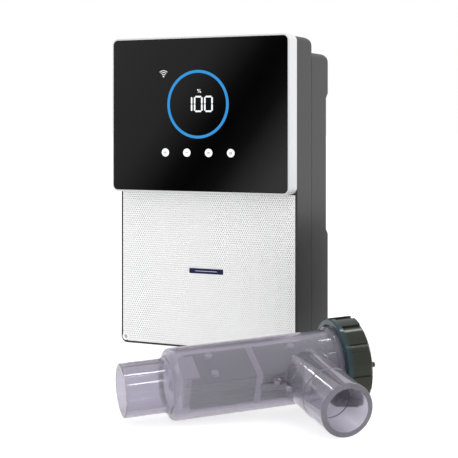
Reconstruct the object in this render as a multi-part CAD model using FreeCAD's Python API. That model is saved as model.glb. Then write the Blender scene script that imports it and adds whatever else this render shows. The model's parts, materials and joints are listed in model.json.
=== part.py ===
import FreeCAD, Part
import math
import os

# Salt chlorine generator: a wall-type control unit and its electrolysis cell.
# Millimetres. Origin at the centre of the control unit's flat base, X to the right,
# Y from the front to the wall, Z up. The cell lies in front on the same surface.

os.makedirs("parts", exist_ok=True)
V = FreeCAD.Vector
X_AXIS = V(1, 0, 0)
Y_AXIS = V(0, 1, 0)
Z_AXIS = V(0, 0, 1)

# ---------------------------------------------------------------- control unit, driving sizes
UNIT_W = 240.0            # width of the casing and of the display slab
CASING_H = 381.3          # front casing, height
CASING_D = 46.2           # front casing, depth
HOUSING_DROP = 17.3       # the rear housing is this much lower
HOUSING_D = 56.3          # rear housing, depth
SEAL_T = 0.8              # seal between casing and housing
WALL = 3.0                # moulded walls
CORNER_R = 8.0            # corners seen from the front
BACK_R = 12.0             # rounded top edges towards the wall
RECESS_BELOW_TOP = 49.0   # bracket recess in the back face, below the housing's top
RECESS_H = 177.0
RECESS_D = 6.4            # its depth, and the width of its sloped ends
BOSS_R = 5.0              # screw bosses
HEAD_R = 3.8              # screw heads
HEAD_H = 3.0
HEAD_SINK = 8.0           # casing screw heads below the back face

SLAB_T = 24.0             # display slab, front to back
SLAB_H = 190.1            # its height
SLAB_RISE = 1.1           # it stands this much above the casing
BEZEL_LIP = 2.2           # pale rim round the glass
BEZEL_WALL = 5.0
BEZEL_EDGE_R = 2.4
GLASS_T = 2.8
GLASS_R = 6.0
WEB_T = 2.0               # shelf that carries the glass
BOARD_T = 1.6             # every circuit board
BOARD_DEPTH = 9.0         # display board behind the glass face
RING_R = 41.5             # light ring
RING_STROKE = 3.4
RING_BELOW_TOP = 82.4     # ring centre below the slab's top
KEY_R = 5.0
KEY_COUNT = 4
KEY_PITCH = 29.5
KEY_BELOW_TOP = 141.1
LAMP_X = -46.8
LAMP_BELOW_TOP = 44.6
WINDOW_INSET = 45.0       # window in the shelf, from each side of the slab
WINDOW_MARGIN = 16.0      # above the lamp and below the keys
BEZEL_HOLE_INSET = 25.0   # display screws from the sides
BEZEL_HOLE_RISE = 22.0    # and from the slab's ends

COVER_T = 3.0
COVER_GAP = 2.0           # shadow gap beside the lower cover
COVER_PROUD = 0.8
GASKET_T = 1.0
LEDGE_W = 12.0            # seat that the cover closes on
BADGE_W = 46.0
BADGE_H = 6.1
BADGE_T = 0.8
BADGE_Z = 95.4

BAY_INSET = 35.0          # cable bay under the rear housing, from each side
BAY_H = 26.0
BAY_WALL_FROM_SEAM = 14.0
GLAND_COUNT = 4
GLAND_PITCH = 30.0
GLAND_INSET = 15.0        # last gland from the end of the bay
GLAND_R = 8.0             # threaded shank
GLAND_BORE_R = 4.0
GLAND_WALL = 2.0
ROCKER_INSET = 25.0       # switch from the other end of the bay
ROCKER_W = 30.0           # switch body
ROCKER_D = 20.0
ROCKER_PIVOT_H = 8.0      # above the bay's ceiling
ROCKER_PIN_R = 2.0
ROCKER_TILT = 10.0        # each way from level

STANDOFF_H = 8.0          # power board above the back wall
POWER_INSET = 25.0        # power board from each side
CORE_W = 76.0             # transformer core
CORE_H = 64.0
CORE_T = 26.0
COIL_BUILD = 11.0         # coil stands this far out of the core
CORE_X = -50.0
SINK_X = (-84.0, -16.0)   # heat sink
SINK_FINS = 10
FIN_T = 2.0
FIN_H = 20.0
SINK_BASE_T = 4.0
RECTIFIER_W = 28.0
CAP_R = 11.0
CAP_H = 36.0
CAP_X0 = 26.0
CAP_PITCH = 26.0
RELAY_X0 = 18.0
RELAY_PITCH = 24.0
RELAY_SIZE = (19.0, 16.0, 30.0)
FUSE_X = (24.0, 54.0)
RIBBON_W = 22.0
RIBBON_T = 1.0
RIBBON_BEND = 8.0
RIBBON_BELOW_TOP = 120.0
RIBBON_DROP = 42.0
TERMINAL_FROM_SEAM = 13.05  # face of the terminal board behind the seam
TERMINAL_H = 64.0

BRACKET_INSET = 58.0      # bracket's flat part, from each side
BRACKET_H = 140.0
BRACKET_T = 2.0
BRACKET_FOOT = 24.0
HOLE_SPACING_X = 90.0     # wall screws
HOLE_SPACING_Z = 100.0
WALL_HOLE_R = 3.0
BRACKET_SCREW_DZ = 45.0

FIT = 0.2                 # clearance of a part in its hole or pocket
SCREW_R = 2.0             # M4 screws

# ---------------------------------------------------------------- cell, driving sizes
SPIGOT_R = 25.0           # 50 mm pipe size
PIPE_WALL = 5.0
SPIGOT_L = 38.0
SHOULDER_L = 11.0
BODY_R = 33.5
MOUTH_X = 224.0           # open end that the electrode goes in by
COLLAR_L = 20.0           # threaded collar at the mouth
COLLAR_RISE = 2.5         # collar beyond the body
THREAD_H = 1.2
THREAD_PITCH = 4.0
BRANCH_MARGIN = 1.0       # outlet's fillet clears the collar's flare
BRANCH_L = 112.0          # axis to outlet end
BRANCH_ANGLE = 87.0       # from the direction of the nut
BRANCH_STEP = 0.5         # outlet is that much stouter behind its spigot
BRANCH_EASE = 2.0         # length of that step's slope
BRANCH_BORE_L = 70.0      # full bore from the outlet's end, narrower behind
RIM_ROUND = 1.5
FILLET_R = 3.0            # where the outlet meets the body
WEB_THICK = 5.0
WEB_REACH = 24.0
WEB_RUN = 30.0
BOSS_LUG_R = 4.0          # small lug on the web
BOSS_RISE = 3.5
BOSS_HOLE_R = 1.7
BOSS_BACK = 7.0           # lug from the outlet's side
NUT_WALL = 6.3            # nut beyond the thread ridges
NUT_COVERS = 16.0         # length of collar inside the nut
NUT_LIP = 4.0
NUT_EDGE = 1.0
NUT_CHAMFER = 2.0
NUT_PADS = 12
PAD_DEG = 18.0
PAD_H = 1.8
NUT_RING_L = 5.0
NUT_GAP = 0.5             # nut's bore to the thread ridges
HEAD_FLANGE_T = 5.0
HEAD_PLUG_L = 12.0
HEAD_STEP = 4.5           # boss inside the chamber's radius
HEAD_BOSS_L = 9.0
LIP_GAP = 4.0             # nut's lip round the boss
FLANGE_GAP = 0.1
PLUG_GAP = 0.3
O_RING_SQUEEZE = 0.15
WASHER_T = 1.0
O_RING_R = 1.6
STUD_R = 2.5
STUD_RING_R = 12.0
STUD_ANGLES = (40.0, 165.0, 270.0)   # anode, cathode, probe
STUD_OUT = 19.0           # stud beyond the head's flange
PROBE_GAP = 4.0           # flow probe's tip from the plates

PACK_GAP = 2.6            # plate corners to the chamber
PACK_CORNER = 39.5        # direction of those corners from the plates' plane
PLATE_START = 10.5        # plates from the end of the chamber's flare
PLATE_T = 1.0
PLATE_COUNT = 9
STACK_ROLL = 22.0         # the pack is turned this far about the cell's axis
TAB_L = 10.0
TAB_INSET = 4.0           # tabs from the middle of the plates
TAB_MARGIN = 4.0          # and from their sides
BUSBAR_T = 3.0
BUSBAR_GAP = 9.0          # busbars from the head's plug
BOLT_R = 2.0
BOLT_HEAD_R = 3.6
BOLT_INSET = 8.0          # bolts from the plates' sides
BOLT_FROM_END = 23.0
BAND_W = 6.0
BAND_WALL = 1.7
COMB_L = 16.0
COMB_BACK = 3.0           # solid end of the comb
COMB_W = 30.0
COMB_PROUD = 1.5

# how the cell lies
CELL_AT = (94.0, -418.0)  # centre of the spigot's end, seen from above
CELL_YAW = 42.3           # axis from +X towards +Y

# ---------------------------------------------------------------- derived places
HOUSING_H = CASING_H - HOUSING_DROP
casing_front = -(CASING_D + HOUSING_D) / 2
seam = casing_front + CASING_D
housing_front = seam + SEAL_T
back = (CASING_D + HOUSING_D) / 2
slab_front = casing_front - SLAB_T
slab_top = CASING_H + SLAB_RISE
slab_bottom = slab_top - SLAB_H
half_w = UNIT_W / 2
recess_back = back - RECESS_D
recess_top = HOUSING_H - RECESS_BELOW_TOP
recess_bottom = recess_top - RECESS_H
board_rear = slab_front + BOARD_DEPTH + BOARD_T
ring_z = slab_top - RING_BELOW_TOP
key_z = slab_top - KEY_BELOW_TOP
lamp_z = slab_top - LAMP_BELOW_TOP
pocket_back = casing_front - COVER_PROUD + COVER_T + GASKET_T
cover_top = slab_bottom - FIT * 4
cover_bottom = COVER_GAP + 0.5
key_xs = [(i - (KEY_COUNT - 1) / 2) * KEY_PITCH for i in range(KEY_COUNT)]
bay_half = half_w - BAY_INSET
bay_y = (seam + BAY_WALL_FROM_SEAM + back) / 2
gland_xs = [bay_half - GLAND_INSET - i * GLAND_PITCH for i in reversed(range(GLAND_COUNT))]
rocker_x = -bay_half + ROCKER_INSET
power_rear = recess_back - WALL - STANDOFF_H
power_face = power_rear - BOARD_T
power_half = half_w - POWER_INSET
power_z = (recess_bottom + 14.0, recess_top - 8.0)
core_z = power_z[0] + 12.0 + CORE_H / 2
core_y = power_face - COIL_BUILD - CORE_T / 2
ribbon_z = slab_top - RIBBON_BELOW_TOP
ribbon_low_z = ribbon_z - RIBBON_DROP
terminal_face = seam + TERMINAL_FROM_SEAM
terminal_z = (BAY_H + WALL + 5.0, BAY_H + WALL + 5.0 + TERMINAL_H)
bracket_half = half_w - BRACKET_INSET
bracket_mid = (recess_bottom + recess_top) / 2
bracket_z = (bracket_mid - BRACKET_H / 2, bracket_mid + BRACKET_H / 2)

# screw positions, (x, z)
casing_screw_spots = [(sx * (half_w - 12.0), z) for sx in (-1, 1)
                      for z in (20.0, slab_bottom - 2.0, HOUSING_H - 20.0)]
display_screw_spots = [(sx * (half_w - BEZEL_HOLE_INSET), z) for sx in (-1, 1)
                       for z in (slab_bottom + BEZEL_HOLE_RISE, slab_top - BEZEL_HOLE_RISE)]
cover_screw_spots = [(sx * (half_w - COVER_GAP - 4.5), cover_bottom + 5.0) for sx in (-1, 1)]
standoff_spots = [(sx * (power_half - 8.0), z) for sx in (-1, 1)
                  for z in (power_z[0] + 8.0, power_z[1] - 8.0)]
core_bolts = [(CORE_X + sx * (CORE_W / 2 - 6.0), core_z + sz * (CORE_H / 2 - 6.0))
              for sx in (-1, 1) for sz in (-1, 1)]
terminal_spots = [(sx * (power_half - 7.0), z) for sx in (-1, 1)
                  for z in (terminal_z[0] + 6.0, terminal_z[1] - 6.0)]
bracket_screw_spots = [(sx * (bracket_half + 14.0), bracket_mid + dz) for sx in (-1, 1)
                       for dz in (-BRACKET_SCREW_DZ, BRACKET_SCREW_DZ)]

# cell, along its own axis from the spigot's end
bore_r = SPIGOT_R - PIPE_WALL
chamber_r = BODY_R - PIPE_WALL
collar_r = BODY_R + COLLAR_RISE
thread_r = collar_r + THREAD_H
nut_r = thread_r + NUT_WALL
boss_r = chamber_r - HEAD_STEP
lip_r = boss_r + LIP_GAP
shoulder_x = SPIGOT_L + SHOULDER_L
collar_x = MOUTH_X - COLLAR_L
nut_x = MOUTH_X - NUT_COVERS
branch_r = SPIGOT_R + BRANCH_STEP
branch_x = collar_x - COLLAR_RISE - branch_r - FILLET_R - BRANCH_MARGIN
branch_dir = V(math.cos(math.radians(BRANCH_ANGLE)), -math.sin(math.radians(BRANCH_ANGLE)), 0)
branch_root = V(branch_x, 0, 0)
web_x = branch_x - branch_r
lug_x = web_x - BOSS_BACK
lug_y = -BODY_R - BOSS_RISE
flange_x = MOUTH_X + FLANGE_GAP
lip_x = flange_x + HEAD_FLANGE_T + WASHER_T

# plate pack
plate_start = shoulder_x + PIPE_WALL / 2 + PLATE_START
bar_end = MOUTH_X - HEAD_PLUG_L - BUSBAR_GAP
bar_x = bar_end - BUSBAR_T
plate_end = bar_x - TAB_L
plate_half = (chamber_r - PACK_GAP) * math.cos(math.radians(PACK_CORNER))
stack_half = (chamber_r - PACK_GAP) * math.sin(math.radians(PACK_CORNER))
plate_pitch = (2 * stack_half - PLATE_T) / (PLATE_COUNT - 1)
plate_levels = [(i - (PLATE_COUNT - 1) / 2) * plate_pitch for i in range(PLATE_COUNT)]
bolt_spots = [(x, sy * (plate_half - BOLT_INSET)) for sy in (-1, 1)
              for x in (plate_start + BOLT_FROM_END, plate_end - BOLT_FROM_END)]
stud_spots = [(STUD_RING_R * math.cos(math.radians(a)), STUD_RING_R * math.sin(math.radians(a)))
              for a in STUD_ANGLES]


# ---------------------------------------------------------------- helpers
def save(name, *shapes):
    """Write one node; several shapes become a group of separate solids."""
    shape = shapes[0] if len(shapes) == 1 else Part.makeCompound(list(shapes))
    shape.exportStep("parts/" + name + ".step")


def block(x, y, z):
    """A box from three (low, high) pairs."""
    size = V(x[1] - x[0], y[1] - y[0], z[1] - z[0])
    return Part.makeBox(size.x, size.y, size.z, V(x[0], y[0], z[0]))


def rod(radius, start, end):
    """A cylinder between two points."""
    line = V(*end) - V(*start)
    return Part.makeCylinder(radius, line.Length, V(*start), line)


def tube(outer, inner, start, end):
    return rod(outer, start, end).cut(rod(inner, start, end))


def hexagon(across, start, end):
    """A hexagonal prism, `across` its flats, between two points along Y or Z or X."""
    line = V(*end) - V(*start)
    side = across / math.sqrt(3)
    points = [V(side * math.cos(math.radians(60 * i)), side * math.sin(math.radians(60 * i)), 0)
              for i in range(7)]
    prism = Part.Face(Part.makePolygon(points)).extrude(V(0, 0, line.Length))
    prism.Placement = FreeCAD.Placement(V(*start), FreeCAD.Rotation(Z_AXIS, line))
    return prism


def plate(width, z, y, radius, bottom_radius=None):
    """A plate that faces the front: centred on X, (low, high) in Z and Y, rounded corners."""
    low = radius if bottom_radius is None else bottom_radius
    shape = block((-width / 2, width / 2), y, z)
    top_edges = [e for e in shape.Edges if is_along_y(e) and e.CenterOfMass.z > sum(z) / 2]
    shape = shape.makeFillet(radius, top_edges)
    low_edges = [e for e in shape.Edges if is_along_y(e) and e.CenterOfMass.z < z[0] + 1e-3
                 and abs(e.CenterOfMass.x) > width / 2 - 1e-3]
    return shape.makeFillet(low, low_edges)


def is_along_y(edge):
    a, b = edge.Vertexes[0].Point, edge.Vertexes[-1].Point
    return abs(a.x - b.x) < 1e-6 and abs(a.z - b.z) < 1e-6 and abs(a.y - b.y) > 1e-6


def side_profile(points, half_width):
    """A YZ outline, given as (y, z) points, run across the whole width."""
    ring = [V(-half_width, y, z) for y, z in points]
    face = Part.Face(Part.makePolygon(ring + ring[:1]))
    return face.extrude(V(2 * half_width, 0, 0))


def round_edge_at(shape, y, z, radius):
    """Round the edge that runs along X through (y, z)."""
    def hit(edge):
        c = edge.CenterOfMass
        runs_x = abs(edge.Vertexes[0].X - edge.Vertexes[-1].X) > 1.0
        return runs_x and abs(c.y - y) < 1e-3 and abs(c.z - z) < 1e-3
    return shape.makeFillet(radius, [e for e in shape.Edges if hit(e)])


def cut_all(shape, cutters):
    for cutter in cutters:
        shape = shape.cut(cutter)
    return shape


def join_all(shapes):
    whole = shapes[0]
    for shape in shapes[1:]:
        whole = whole.fuse(shape)
    return whole.removeSplitter()


def back_y(z):
    """The back face's Y at a height."""
    inside = recess_bottom + RECESS_D < z < recess_top - RECESS_D
    return recess_back if inside else back


# ---------------------------------------------------------------- casing and housing
def casing_solid(inset, y0, y1):
    """The front casing's outline, drawn in by `inset`."""
    top = CASING_H - inset
    outline = side_profile([(y0, inset), (y1, inset), (y1, top), (y0, top)], half_w)
    outline = round_edge_at(outline, y1, top, BACK_R - inset)
    return outline.common(plate(UNIT_W - 2 * inset, (inset, top), (y0, y1), CORNER_R - inset))


def make_front_casing():
    shell = casing_solid(0, casing_front, seam)
    inner = casing_solid(WALL, casing_front + WALL, seam - WALL)
    mouth = plate(UNIT_W - 2 * WALL, (WALL, HOUSING_H - WALL), (casing_front + WALL, seam), CORNER_R - WALL)
    inner = inner.fuse(mouth)
    low_front = block((-half_w, half_w), (casing_front, pocket_back + WALL), (0, slab_bottom + 6.0))
    shell = shell.cut(inner.cut(low_front))
    pocket = plate(UNIT_W - 2 * COVER_GAP + 2 * FIT, (cover_bottom - FIT, slab_bottom),
                   (casing_front - 1, pocket_back), FIT, CORNER_R)
    doorway = plate(UNIT_W - 2 * COVER_GAP - 2 * LEDGE_W, (cover_bottom + LEDGE_W, cover_top - LEDGE_W),
                    (casing_front - 1, pocket_back + WALL + 1), WALL)
    shell = cut_all(shell, [pocket, doorway])
    for x, z in casing_screw_spots:
        boss = rod(BOSS_R, (x, casing_front + WALL, z), (x, seam, z))
        shell = shell.fuse(boss.common(casing_solid(0, casing_front, seam)).cut(low_front))
    for x, z in casing_screw_spots:
        shell = shell.cut(rod(SCREW_R, (x, seam - 22.0, z), (x, seam, z)))
    for x, z in display_screw_spots:
        shell = shell.cut(rod(SCREW_R + FIT, (x, casing_front - 1, z), (x, casing_front + WALL + 1, z)))
    for x, z in cover_screw_spots:
        shell = shell.cut(rod(1.5, (x, pocket_back - 1, z), (x, pocket_back + WALL + 1, z)))
    slot = block((-14.0, 14.0), (casing_front - 1, casing_front + WALL + 1), (ribbon_z - 3.0, ribbon_z + 3.0))
    save("front_casing", shell.cut(slot).removeSplitter())


def housing_outline(inset):
    y0 = housing_front
    rear = back - inset
    low = recess_bottom - inset * 0.4
    high = recess_top + inset * 0.4
    deep = recess_back - inset
    points = [(y0, inset), (rear, inset), (rear, low), (deep, low + RECESS_D), (deep, high - RECESS_D),
              (rear, high), (rear, HOUSING_H - inset), (y0, HOUSING_H - inset)]
    return round_edge_at(side_profile(points, half_w), rear, HOUSING_H - inset, BACK_R - inset)


def housing_solid(inset):
    frame = plate(UNIT_W - 2 * inset, (inset, HOUSING_H - inset), (housing_front, back), CORNER_R - inset)
    return housing_outline(inset).common(frame)


def make_rear_housing():
    bay = block((-bay_half, bay_half), (seam + BAY_WALL_FROM_SEAM, back + 1), (-1, BAY_H))
    bay_skin = block((-bay_half - WALL, bay_half + WALL), (seam + BAY_WALL_FROM_SEAM - WALL, back + 1),
                     (-1, BAY_H + WALL))
    shell = housing_solid(0).cut(housing_solid(WALL).cut(bay_skin)).cut(bay)
    for x, z in casing_screw_spots:
        boss = rod(BOSS_R + 1.5, (x, housing_front, z), (x, back_y(z) - 1, z))
        shell = shell.fuse(boss.common(housing_solid(0)))
    for x, z in casing_screw_spots:
        seat = back_y(z) - HEAD_SINK
        shell = cut_all(shell, [rod(SCREW_R + FIT, (x, housing_front - 1, z), (x, seat, z)),
                                rod(HEAD_R + FIT, (x, seat, z), (x, back_y(z) + 1, z))])
    for x, z in bracket_screw_spots:
        shell = shell.fuse(rod(BOSS_R, (x, recess_back - 9.0, z), (x, recess_back - 1, z)))
        shell = shell.cut(rod(SCREW_R, (x, recess_back - 7.0, z), (x, recess_back + 1, z)))
    for x in gland_xs:
        shell = shell.cut(rod(GLAND_R + FIT, (x, bay_y, BAY_H - 1), (x, bay_y, BAY_H + WALL + 1)))
    switch_hole = block((rocker_x - ROCKER_W / 2 - FIT, rocker_x + ROCKER_W / 2 + FIT),
                        (bay_y - ROCKER_D / 2 - FIT, bay_y + ROCKER_D / 2 + FIT), (BAY_H - 1, BAY_H + WALL + 1))
    shell = shell.cut(switch_hole)
    save("rear_housing", shell.removeSplitter())


def make_casing_gasket():
    low = plate(UNIT_W - 1.0, (0.5, HOUSING_H - 0.5), (seam, housing_front), CORNER_R - 0.5)
    inner = plate(UNIT_W - 2 * WALL, (WALL, HOUSING_H - WALL), (seam - 1, housing_front + 1), CORNER_R - WALL)
    save("casing_gasket", low.cut(inner))


def make_casing_screws():
    screws = []
    for x, z in casing_screw_spots:
        seat = back_y(z) - HEAD_SINK
        shank = rod(SCREW_R - 0.05, (x, seam - 20.0, z), (x, seat, z))
        head = rod(HEAD_R, (x, seat, z), (x, seat + HEAD_H, z))
        socket = hexagon(3.0, (x, seat + 1.2, z), (x, seat + HEAD_H + 1, z))
        screws.append(shank.fuse(head).cut(socket))
    save("casing_screws", *screws)


# ---------------------------------------------------------------- display slab
def make_display_bezel():
    outer = plate(UNIT_W, (slab_bottom, slab_top), (slab_front, casing_front), CORNER_R)
    front_edges = [e for e in outer.Edges if abs(e.CenterOfMass.y - slab_front) < 1e-3]
    outer = outer.makeFillet(BEZEL_EDGE_R, front_edges)
    rear_edges = [e for e in outer.Edges if abs(e.CenterOfMass.y - casing_front) < 1e-3]
    outer = outer.makeFillet(BEZEL_EDGE_R / 2, rear_edges)
    glass_seat = plate(UNIT_W - 2 * BEZEL_LIP, (slab_bottom + BEZEL_LIP, slab_top - BEZEL_LIP),
                       (slab_front - 1, slab_front + GLASS_T), GLASS_R)
    window = plate(UNIT_W - 2 * WINDOW_INSET, (key_z - WINDOW_MARGIN, lamp_z + WINDOW_MARGIN),
                   (slab_front, slab_front + GLASS_T + WEB_T + 1), CORNER_R)
    hollow = plate(UNIT_W - 2 * BEZEL_WALL, (slab_bottom + BEZEL_WALL, slab_top - BEZEL_WALL),
                   (slab_front + GLASS_T + WEB_T, casing_front + 1), CORNER_R - BEZEL_WALL)
    shape = cut_all(outer, [glass_seat, window, hollow])
    for x, z in display_screw_spots:
        shape = shape.fuse(rod(BOSS_R, (x, slab_front + GLASS_T + WEB_T - 1, z), (x, casing_front, z)))
        shape = shape.cut(rod(SCREW_R, (x, casing_front - 12.0, z), (x, casing_front + 1, z)))
    save("display_bezel", shape.removeSplitter())


def make_display_glass():
    rim = BEZEL_LIP + FIT / 2
    glass = plate(UNIT_W - 2 * rim, (slab_bottom + rim, slab_top - rim),
                  (slab_front + 0.1, slab_front + GLASS_T), GLASS_R - FIT / 2)
    front_edges = [e for e in glass.Edges if abs(e.CenterOfMass.y - slab_front - 0.1) < 1e-3]
    save("display_glass", glass.makeChamfer(0.4, front_edges))


def make_display_screws():
    screws = []
    for x, z in display_screw_spots:
        seat = casing_front + WALL
        shank = rod(SCREW_R - 0.05, (x, casing_front - 10.0, z), (x, seat, z))
        head = rod(HEAD_R, (x, seat, z), (x, seat + HEAD_H, z))
        socket = hexagon(3.0, (x, seat + 1.2, z), (x, seat + HEAD_H + 1, z))
        screws.append(shank.fuse(head).cut(socket))
    save("display_screws", *screws)


def make_display_board():
    face = slab_front + BOARD_DEPTH
    board = plate(UNIT_W - 2 * WINDOW_INSET + 20.0, (key_z - WINDOW_MARGIN - 4.0, lamp_z + WINDOW_MARGIN + 4.0),
                  (face, board_rear), 4.0)
    header = block((-15.0, 15.0), (board_rear, board_rear + 4.0), (ribbon_z - 4.0, ribbon_z + 4.0))
    slot = block((-RIBBON_W / 2 - 0.5, RIBBON_W / 2 + 0.5), (board_rear + 2.0, board_rear + 5.0),
                 (ribbon_z - RIBBON_T, ribbon_z + RIBBON_T))
    save("display_board", board.fuse(header).cut(slot))
    behind_glass = slab_front + GLASS_T
    save("ring_light_guide", tube(RING_R, RING_R - RING_STROKE, (0, behind_glass, ring_z), (0, face, ring_z)))
    save("digit_display", block((-24.0, 24.0), (behind_glass + 0.5, face), (ring_z - 13.0, ring_z + 20.0)))
    lamp = block((LAMP_X - 5.0, LAMP_X + 5.0), (behind_glass + 0.5, face), (lamp_z - 4.5, lamp_z + 4.5))
    save("wifi_lamp", lamp)
    keys = [rod(KEY_R, (x, behind_glass, key_z), (x, face, key_z)) for x in key_xs]
    save("touch_keys", *keys)


# ---------------------------------------------------------------- lower cover
def make_lower_cover():
    front = casing_front - COVER_PROUD
    cover = plate(UNIT_W - 2 * COVER_GAP, (cover_bottom, cover_top), (front, front + COVER_T),
                  FIT, CORNER_R - FIT)
    for x, z in cover_screw_spots:
        cover = cut_all(cover, [rod(1.7, (x, front - 1, z), (x, front + COVER_T + 1, z)),
                                rod(2.6, (x, front - 1, z), (x, front + 1.4, z))])
    seat = block((-BADGE_W / 2 - FIT, BADGE_W / 2 + FIT), (front - 1, front + BADGE_T / 2),
                 (BADGE_Z - BADGE_H / 2 - FIT, BADGE_Z + BADGE_H / 2 + FIT))
    save("lower_cover", cover.cut(seat))
    badge = plate(BADGE_W, (BADGE_Z - BADGE_H / 2, BADGE_Z + BADGE_H / 2),
                  (front - BADGE_T / 2, front + BADGE_T / 2), 0.8)
    save("cover_badge", badge)
    rear = front + COVER_T
    width = UNIT_W - 2 * COVER_GAP - LEDGE_W
    outer = plate(width, (cover_bottom + LEDGE_W / 2, cover_top - LEDGE_W / 2), (rear, rear + GASKET_T), 5.0)
    inner = plate(width - 5.0, (cover_bottom + LEDGE_W / 2 + 2.5, cover_top - LEDGE_W / 2 - 2.5),
                  (rear - 1, rear + GASKET_T + 1), 3.0)
    save("cover_gasket", outer.cut(inner))
    screws = []
    for x, z in cover_screw_spots:
        shank = rod(1.4, (x, front + 1.4, z), (x, pocket_back + WALL, z))
        head = rod(2.4, (x, front + 0.1, z), (x, front + 1.4, z))
        cross = block((x - 1.5, x + 1.5), (front, front + 0.8), (z - 0.3, z + 0.3))
        cross = cross.fuse(block((x - 0.3, x + 0.3), (front, front + 0.8), (z - 1.5, z + 1.5)))
        screws.append(shank.fuse(head).cut(cross))
    save("cover_screws", *screws)


# ---------------------------------------------------------------- power electronics
def make_power_board():
    board = block((-power_half, power_half), (power_face, power_rear), power_z)
    for x, z in standoff_spots + core_bolts:
        board = board.cut(rod(SCREW_R + 0.1, (x, power_face - 1, z), (x, power_rear + 1, z)))
    save("power_board", board)
    posts = [tube(4.0, SCREW_R, (x, power_rear, z), (x, recess_back - WALL, z)) for x, z in standoff_spots]
    save("board_standoffs", *posts)
    screws = [rod(SCREW_R - 0.05, (x, power_face, z), (x, recess_back - WALL - 1, z)).fuse(
        rod(HEAD_R, (x, power_face - 2.4, z), (x, power_face, z))) for x, z in standoff_spots]
    save("board_screws", *screws)


def make_transformer():
    limb = CORE_W / 3
    side = CORE_W / 6
    y = (core_y - CORE_T / 2, core_y + CORE_T / 2)
    core = block((CORE_X - CORE_W / 2, CORE_X + CORE_W / 2), y, (core_z - CORE_H / 2, core_z + CORE_H / 2))
    for sx in (-1, 1):
        x0, x1 = sorted((CORE_X + sx * limb / 2, CORE_X + sx * (CORE_W / 2 - side)))
        core = core.cut(block((x0, x1), (y[0] - 1, y[1] + 1),
                              (core_z - CORE_H / 2 + side, core_z + CORE_H / 2 - side)))
    for x, z in core_bolts:
        core = core.cut(rod(SCREW_R + FIT, (x, y[0] - 1, z), (x, y[1] + 1, z)))
    save("transformer_core", core)
    window = CORE_W / 2 - side - limb / 2
    half_z = CORE_H / 2 - side - 0.5
    coil = block((CORE_X - limb / 2 - window + 0.5, CORE_X + limb / 2 + window - 0.5),
                 (y[0] - COIL_BUILD, y[1] + COIL_BUILD), (core_z - half_z, core_z + half_z))
    coil = coil.makeFillet(5.0, [e for e in coil.Edges if abs(e.Vertexes[0].Z - e.Vertexes[-1].Z) > 1])
    heart = block((CORE_X - limb / 2 - FIT, CORE_X + limb / 2 + FIT), (y[0] - FIT, y[1] + FIT),
                  (core_z - half_z - 1, core_z + half_z + 1))
    save("transformer_coil", coil.cut(heart))
    screws = [rod(SCREW_R, (x, y[0], z), (x, power_rear, z)).fuse(
        rod(HEAD_R, (x, y[0] - HEAD_H, z), (x, y[0], z))) for x, z in core_bolts]
    save("transformer_screws", *screws)


def make_power_parts():
    sink_z = (core_z + CORE_H / 2 + 10.0, power_z[1] - 4.0)
    base_y = (power_face - 8.0 - SINK_BASE_T, power_face - 8.0)
    sink = block(SINK_X, base_y, sink_z)
    step = (SINK_X[1] - SINK_X[0] - FIN_T) / (SINK_FINS - 1)
    for i in range(SINK_FINS):
        x = SINK_X[0] + i * step
        sink = sink.fuse(block((x, x + FIN_T), (base_y[0] - FIN_H, base_y[0]), sink_z))
    for x in (SINK_X[0] + 16.0, SINK_X[1] - 4.0):
        sink = sink.fuse(rod(3.0, (x, base_y[1], sink_z[0] + 6.0), (x, power_face, sink_z[0] + 6.0)))
    save("heat_sink", sink.removeSplitter())
    mid = (sum(SINK_X) / 2, sum(sink_z) / 2 + 6.0)
    half = RECTIFIER_W / 2
    rectifier = block((mid[0] - half, mid[0] + half), (base_y[1], power_face), (mid[1] - half, mid[1] + half))
    save("rectifier", rectifier)
    cans = []
    can_z = power_z[1] - 2 * CAP_R - 4.0
    for x in (CAP_X0, CAP_X0 + CAP_PITCH, CAP_X0 + 2 * CAP_PITCH):
        can = rod(CAP_R, (x, power_face - CAP_H, can_z), (x, power_face, can_z))
        vent = block((x - 7.0, x + 7.0), (power_face - CAP_H - 1, power_face - CAP_H + 0.5),
                     (can_z - 0.3, can_z + 0.3))
        cans.append(can.cut(vent))
    save("capacitors", *cans)
    relays = []
    for x in (RELAY_X0, RELAY_X0 + RELAY_PITCH, RELAY_X0 + 2 * RELAY_PITCH):
        face = power_face - RELAY_SIZE[1]
        top = power_z[1] - 54.0
        relay = block((x, x + RELAY_SIZE[0]), (face, power_face), (top - RELAY_SIZE[2], top))
        relays.append(relay.makeChamfer(0.8, [e for e in relay.Edges if abs(e.CenterOfMass.y - face) < 1e-3]))
    save("relays", *relays)
    fuse_z = power_z[0] + 25.5
    fuse = block(FUSE_X, (power_face - 8.0, power_face), (fuse_z - 5.5, fuse_z + 5.5))
    barrel = rod(5.0, (FUSE_X[0] - 2.0, power_face - 9.0, fuse_z), (FUSE_X[1] + 2.0, power_face - 9.0, fuse_z))
    save("fuse_holder", fuse.fuse(barrel).removeSplitter())


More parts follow.
